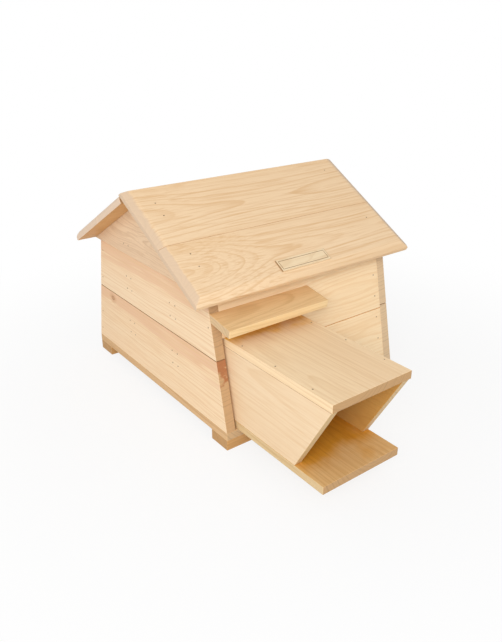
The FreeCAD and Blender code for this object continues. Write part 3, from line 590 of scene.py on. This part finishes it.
# Painted shade: the tunnel's inner faces are multiplied darker and warmer, where shade falls inside the
# tunnel.
TUNNEL_INSIDE_PAINTED_SHADE = (0.80, 0.60, 0.26, 1)
STEP_EDGE = (0.94, 1.10, 1.40, 1)
SIDE_TOP_EDGE = (Z, EDGE_MARKS, SEAM_DIRT)
TUNNEL_GRAIN = {"waver": 0.02, "lines": 0.6}
TUNNEL_BOARDS = {
    "floor": {
        "across": X, "wood": STEP_WOOD, "heart": (0.03, -0.05), "ring": 0.0060, "tilt": 1.2,
        "faces": ((-X, FLAT_MARKS, STEP_EDGE),),
        # where the floor is darkened with painted shade, along the tunnel
        "painted_shade": {"start": -0.318, "full": -0.262, "until": -0.06},
    },
    "side_left": {
        "across": Z, "wood": SIDE_WOOD, "heart": (0.05, -0.07), "ring": 0.0050, "tilt": 0.8,
        "faces": ((X, FLAT_MARKS, TUNNEL_INSIDE_PAINTED_SHADE), SIDE_TOP_EDGE),
    },
    "side_right": {
        "across": Z, "wood": SIDE_WOOD, "heart": (-0.04, -0.06), "ring": 0.0050, "tilt": 0.8,
        "faces": ((-X, FLAT_MARKS, TUNNEL_INSIDE_PAINTED_SHADE), SIDE_TOP_EDGE),
    },
    "top": {
        "across": X, "wood": TOP_WOOD, "heart": (-0.05, -0.06), "ring": 0.0050, "tilt": 0.5,
        "faces": ((-Z, FLAT_MARKS, TUNNEL_INSIDE_PAINTED_SHADE),),
        # where the top is darkened with painted shade under the canopy
        "painted_shade": {"start": -0.135, "full": -0.09, "until": -0.085},
    },
}
for board, sawn in TUNNEL_BOARDS.items():
    node = f"tunnel_{board}"
    planed_board(node, pine(node, Y, **sawn, **TUNNEL_GRAIN))

# Canopy
# A short pine board over the tunnel, nailed from inside the front wall, its back edge sawn to the
# wall's lean. It is a warmer piece of wood than its neighbours, and its front edge, which faces a little
# downward, is brightened with painted light.

CANOPY_FALL = math.radians(9.5)
CANOPY_ACROSS = Vector((0, math.cos(CANOPY_FALL), math.sin(CANOPY_FALL)))
CANOPY_WOOD = {
    "pale": (0.825, 0.555, 0.280, 1),
    "late": (0.650, 0.395, 0.170, 1),
    "warm": (0.755, 0.475, 0.215, 1),
    "end": (0.68, 0.48, 0.27, 1),
}
# Painted light: the canopy's front face, which faces a little downward, is multiplied brighter.
CANOPY_EDGE_PAINTED_LIGHT = (1.16, 1.28, 1.40, 1)
CANOPY_SAWN = {"heart": (0.015, -0.05), "tilt": 1.5, "ring": 0.006}
canopy_front_painted_light = (-CANOPY_ACROSS, FLAT_MARKS, CANOPY_EDGE_PAINTED_LIGHT)
canopy_finish = pine("canopy_board", X, CANOPY_ACROSS, CANOPY_WOOD, faces=(canopy_front_painted_light,), **CANOPY_SAWN)
planed_board("canopy_board", canopy_finish)

# Front half of the roof
# Two wide flat-sawn pine boards with a strong arched grain, nailed down on the gables. Their ends and
# the eave are planed to a soft bevel, and the upper one is cut along the ridge in line with the lid.

SHALLOW_BEVEL = (math.radians(15), math.radians(46))


def soften_bevels(shape, width):
    """Rounds off the edges of a board's planed bevels, which are shallower than its arrises."""
    least, most = SHALLOW_BEVEL
    shallow = [edge for edge in shape.edges if least < edge.calc_face_angle(0) < most]
    round_edges(shape, shallow, width, segments=5)


ROOF_PITCH = math.radians(29.6)
UP_FRONT = Vector((0, math.cos(ROOF_PITCH), math.sin(ROOF_PITCH)))
ROOF_WOOD = {
    "pale": (0.880, 0.655, 0.420, 1),
    "late": (0.690, 0.420, 0.200, 1),
    "warm": (0.845, 0.600, 0.360, 1),
    "end": (0.685, 0.505, 0.345, 1),
}
ROOF_GRAIN = {"ring": 0.0038, "waver": 0.018, "lines": 0.55, "end_marks": (0.12, 0.37), "end_lines": 0.12}
ROOF_SOFTENING = 0.0055
JOINT_DIRT = (0.86, 0.78, 0.69, 1)
ROOF_BOARDS = {
    "roof_front_lower": {
        "heart": (0.000, -0.050),
        "arches": ((-0.235, 0.19, 0.028),),
        "faces": ((UP_FRONT, EDGE_MARKS, JOINT_DIRT),),
    },
    "roof_front_upper": {
        "heart": (-0.008, -0.050),
        "arches": ((-0.24, 0.14, 0.007), (0.20, 0.23, 0.006)),
        "faces": ((-UP_FRONT, EDGE_MARKS, JOINT_DIRT),),
    },
}
for node, sawn in ROOF_BOARDS.items():
    planed_board(node, pine(node, X, UP_FRONT, ROOF_WOOD, **sawn, **ROOF_GRAIN), soften=ROOF_SOFTENING)

# Name plate
# A thin slip of paler wood glued to the roof. It is cut and engraved by a laser, so its ends and its
# one border line are scorched brown, and it is otherwise bare.

PLATE_LENGTH = 0.108
PLATE_WIDTH = 0.025
PLATE_EASE = 0.0002
BORDER_INSET = 0.0035
BORDER_WIDTH = 0.0008
BORDER_FADE = (BORDER_WIDTH * 0.5, BORDER_WIDTH * 0.8)
BORDER_SCORCH = 0.9
END_SCORCH = 0.85
END_SCORCH_DEPTH = (0.0001, 0.0010)
PLATE_WOOD = {
    "pale": (0.860, 0.680, 0.445, 1),
    "late": (0.740, 0.530, 0.310, 1),
    "warm": (0.860, 0.680, 0.445, 1),
    "end": SAWN_END,
}
PLATE_SCORCH = (0.300, 0.170, 0.080, 1)
PLATE_SAWN = {"heart": (0.01, -0.09), "tilt": 0.5, "ring": 0.003}


def scorch(material):
    """Burns the border line and both ends of the plate into its wood."""
    tree = material.node_tree
    low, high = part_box("plaque")
    centring = {
        "Vector": tree.nodes["Texture Coordinate"].outputs["Object"],
        "Location": (low + high) / 2,
        "Rotation": board_turn(X, UP_FRONT).to_euler(),
    }
    place = add(tree, "ShaderNodeMapping", centring, vector_type="TEXTURE").outputs[0]
    axes = add(tree, "ShaderNodeSeparateXYZ", {"Vector": place}).outputs
    end_gap = calc(tree, "SUBTRACT", PLATE_LENGTH / 2, calc(tree, "ABSOLUTE", axes["X"]))
    side_gap = calc(tree, "SUBTRACT", PLATE_WIDTH / 2, calc(tree, "ABSOLUTE", axes["Y"]))
    edge_gap = calc(tree, "MINIMUM", end_gap, side_gap)
    line_gap = calc(tree, "ABSOLUTE", calc(tree, "SUBTRACT", edge_gap, BORDER_INSET + BORDER_WIDTH / 2))
    border = ease_between(tree, line_gap, *BORDER_FADE, BORDER_SCORCH, 0.0)
    ends = ease_between(tree, end_gap, *END_SCORCH_DEPTH, END_SCORCH, 0.0)
    base_colour = tree.nodes["Principled BSDF"].inputs["Base Color"]
    bare = base_colour.links[0].from_socket
    tree.links.new(tint(tree, calc(tree, "MAXIMUM", border, ends), bare, PLATE_SCORCH), base_colour)


plate_finish = pine("plaque", X, UP_FRONT, PLATE_WOOD, **PLATE_SAWN)
plate_finish.name = "plaque_wood"
scorch(plate_finish)
planed_board("plaque", plate_finish, ease=PLATE_EASE)

# Lid
# The rear half of the roof: two boards of the same pine as the front half, tied by battens underneath.
# It is hung from the ridge board, so that the nest can be reached for cleaning.

UP_REAR = Vector((0, -math.cos(ROOF_PITCH), math.sin(ROOF_PITCH)))
OUT_REAR = UP_REAR.cross(X)
LID_WOOD = {**ROOF_WOOD, "end": (0.76, 0.58, 0.43, 1)}
LID_SOFTENING = 0.002
# Painted shade: the lid boards' undersides are multiplied darker and warmer.
UNDERSIDE_PAINTED_SHADE = (0.84, 0.68, 0.47, 1)
LID_UNDERSIDE_PAINTED_SHADE = (-OUT_REAR, FLAT_MARKS, UNDERSIDE_PAINTED_SHADE)
# Painted shade on the upper lid board's end at the ridge, so that the gap there looks dark.
RIDGE_PAINTED_SHADE = (0.50, 0.42, 0.34, 1)
LID_BOARDS = {
    "lid_lower": {
        "heart": (-0.02, 0.050),
        "arches": ((0.19, 0.24, -0.012),),
        "faces": (LID_UNDERSIDE_PAINTED_SHADE, (UP_REAR, EDGE_MARKS, JOINT_DIRT)),
    },
    "lid_upper": {
        "heart": (0.01, 0.050),
        "arches": ((-0.12, 0.2, -0.008),),
        "faces": (LID_UNDERSIDE_PAINTED_SHADE, (-UP_REAR, EDGE_MARKS, JOINT_DIRT), (UP_REAR, FLAT_MARKS, RIDGE_PAINTED_SHADE)),
    },
}
for node, sawn in LID_BOARDS.items():
    planed_board(node, pine(node, X, UP_REAR, LID_WOOD, **sawn, **ROOF_GRAIN), soften=LID_SOFTENING)

BATTEN_HEARTS = {"left": (0.02, 0.04), "right": (-0.03, 0.03)}
for side, heart in BATTEN_HEARTS.items():
    node = f"lid_batten_{side}"
    planed_board(node, pine(node, UP_REAR, X, CLEAT_WOOD, heart))

# Hinges
# Two small pressed-steel butt hinges across the joint behind the ridge, zinc plated, each on a steel pin
# and held by countersunk screws.


def make_dull_metal():
    """Cloudy patches and fine scratches for small steel fittings."""
    cloud_scale = 190.0
    cloud_detail = 3.0
    scratch_scale = (120.0, 2600.0, 2600.0)
    tree, given, out = group("dull_metal", {"Place": "Vector"}, ("Cloud", "Scratch"))
    tree.links.new(noise(tree, given["Place"], cloud_scale, cloud_detail)[0], out["Cloud"])
    tree.links.new(stretched_noise(tree, given["Place"], scratch_scale)[0], out["Scratch"])
    return tree


DULL_METAL = make_dull_metal()
TARNISH_LEVELS = (0.38, 0.66)
SCRATCH_LEVELS = (0.3, 0.7)
SMOOTHER = 0.08
ROUGHER = 0.1
SCRATCH_STRENGTH = 0.15
SCRATCH_DEPTH = 0.0002


def steel(name, clean, dull, rough):
    """Plated or bare steel with patches of tarnish."""
    material = bpy.data.materials.new(name)
    material.use_nodes = True
    tree = material.node_tree
    shader = tree.nodes["Principled BSDF"]
    place = tree.nodes.new("ShaderNodeTexCoord").outputs["Object"]
    worn = add(tree, "ShaderNodeGroup", {"Place": place}, node_tree=DULL_METAL).outputs
    tarnish = ease_between(tree, worn["Cloud"], *TARNISH_LEVELS)
    tree.links.new(tint(tree, tarnish, clean, dull), shader.inputs["Base Color"])
    roughness = ease_between(tree, worn["Scratch"], *SCRATCH_LEVELS, rough - SMOOTHER, rough + ROUGHER)
    tree.links.new(roughness, shader.inputs["Roughness"])
    raised = {"Height": worn["Scratch"], "Strength": SCRATCH_STRENGTH, "Distance": SCRATCH_DEPTH}
    tree.links.new(add(tree, "ShaderNodeBump", raised).outputs["Normal"], shader.inputs["Normal"])
    shader.inputs["Metallic"].default_value = 1.0
    return material


def dress(node, finish):
    """Gives a CAD piece its finish, and leaves its shape as it is."""
    materials = frame["nodes"][node].data.materials
    materials.clear()
    materials.append(finish)


hinge_zinc = steel("hinge_zinc", clean=(0.60, 0.60, 0.58, 1), dull=(0.52, 0.51, 0.48, 1), rough=0.40)
for side in ("left", "right"):
    for part in ("ridge_leaf", "lid_leaf", "pin"):
        dress(f"hinge_{side}_{part}", hinge_zinc)
for screws in ("hinge_ridge_screws", "hinge_lid_screws"):
    dress(screws, hinge_zinc)

# Nails
# Thin flat-headed steel wire nails, which hold the boards together. They are hammered in until the
# head is almost flush, and the heads have gone brown.

nail_steel = steel("nail_steel", clean=(0.46, 0.34, 0.23, 1), dull=(0.30, 0.20, 0.12, 1), rough=0.55)
for node in frame["nodes"]:
    if node.endswith("_nails"):
        dress(node, nail_steel)

# Studio
# A wide white floor that runs out of sight, an even white surround, and one large soft lamp above the
# camera's left shoulder. The camera stands where the photograph was taken from.

FLOOR_HALF = 30.0
FLOOR_PAINT = (0.86, 0.86, 0.86, 1)
WHITE = (1, 1, 1, 1)
SHADOW_REACH = (0.25, 1.0)
NEAR_GLOW = 0.82


def white_when_seen(tree):
    """One where the eye meets the white directly, in metal or through glass, and nought for other light."""
    path = tree.nodes.new("ShaderNodeLightPath").outputs
    seen = calc(tree, "MAXIMUM", path["Is Camera Ray"], path["Is Glossy Ray"])
    return calc(tree, "MAXIMUM", seen, path["Is Transmission Ray"])


def white_floor():
    """Matte white paint that keeps the object's shadow near it, and shows as plain white further out."""
    material = bpy.data.materials.new("floor_white")
    material.use_nodes = True
    tree = material.node_tree
    tree.nodes.remove(tree.nodes["Principled BSDF"])
    matte = add(tree, "ShaderNodeBsdfDiffuse", {"Color": FLOOR_PAINT}).outputs[0]
    glow = add(tree, "ShaderNodeEmission", {"Color": WHITE, "Strength": 1.0}).outputs[0]
    reach = measure(tree, "LENGTH", tree.nodes.new("ShaderNodeTexCoord").outputs["Object"])
    fade = ease_between(tree, reach, *SHADOW_REACH, NEAR_GLOW, 1.0)
    share = calc(tree, "MULTIPLY", white_when_seen(tree), fade)
    surface = add(tree, "ShaderNodeMixShader", {0: share, 1: matte, 2: glow}).outputs[0]
    tree.links.new(surface, tree.nodes["Material Output"].inputs["Surface"])
    return material


floor_shape = bmesh.new()
bmesh.ops.create_grid(floor_shape, x_segments=1, y_segments=1, size=FLOOR_HALF)
floor_mesh = bpy.data.meshes.new("studio_floor")
floor_shape.to_mesh(floor_mesh)
floor_shape.free()
floor_mesh.materials.append(white_floor())
studio_floor = bpy.data.objects.new("studio_floor", floor_mesh)
bpy.context.scene.collection.objects.link(studio_floor)

SURROUND_LIGHT = 0.60
surround = bpy.data.worlds.new("surround")
surround.use_nodes = True
surround_tree = surround.node_tree
surround_sky = surround_tree.nodes["Background"].inputs
surround_sky["Color"].default_value = WHITE
seen_light = calc(surround_tree, "MULTIPLY", white_when_seen(surround_tree), 1 - SURROUND_LIGHT)
surround_light = calc(surround_tree, "ADD", seen_light, SURROUND_LIGHT)
surround_tree.links.new(surround_light, surround_sky["Strength"])
bpy.context.scene.world = surround

LAMP_PLACE = Vector((-2.05, -2.0, 1.85))
LAMP_AIM = Vector((0, 0, 0.2))
softbox = bpy.data.lights.new("softbox", "AREA")
softbox.shape = "RECTANGLE"
softbox.size = 2.2
softbox.size_y = 1.6
softbox.energy = 65
softbox_lamp = bpy.data.objects.new("softbox", softbox)
softbox_lamp.location = LAMP_PLACE
softbox_lamp.rotation_euler = (LAMP_AIM - LAMP_PLACE).to_track_quat("-Z", "Y").to_euler()
bpy.context.scene.collection.objects.link(softbox_lamp)

IMAGE_WIDTH = 502
FOCAL_PIXELS = 650.8
CAMERA_TURN = math.radians(37.095)
CAMERA_RISE = math.radians(24.997)
CAMERA_PLACE = Vector((-0.7114, -0.8725, 0.6612))
camera_back = Vector((
    -math.sin(CAMERA_TURN) * math.cos(CAMERA_RISE),
    -math.cos(CAMERA_TURN) * math.cos(CAMERA_RISE),
    math.sin(CAMERA_RISE),
))
camera_lens = bpy.data.cameras.new("photo_camera")
camera_lens.sensor_fit = "HORIZONTAL"
camera_lens.sensor_width = 36.0
camera_lens.lens = FOCAL_PIXELS * camera_lens.sensor_width / IMAGE_WIDTH
camera_lens.clip_start = 0.01
camera_lens.clip_end = 100.0
photo_camera = bpy.data.objects.new("photo_camera", camera_lens)
photo_camera.location = CAMERA_PLACE
photo_camera.rotation_euler = camera_back.to_track_quat("Z", "Y").to_euler()
bpy.context.scene.collection.objects.link(photo_camera)
bpy.context.scene.camera = photo_camera
bpy.context.scene.view_settings.view_transform = "Standard"
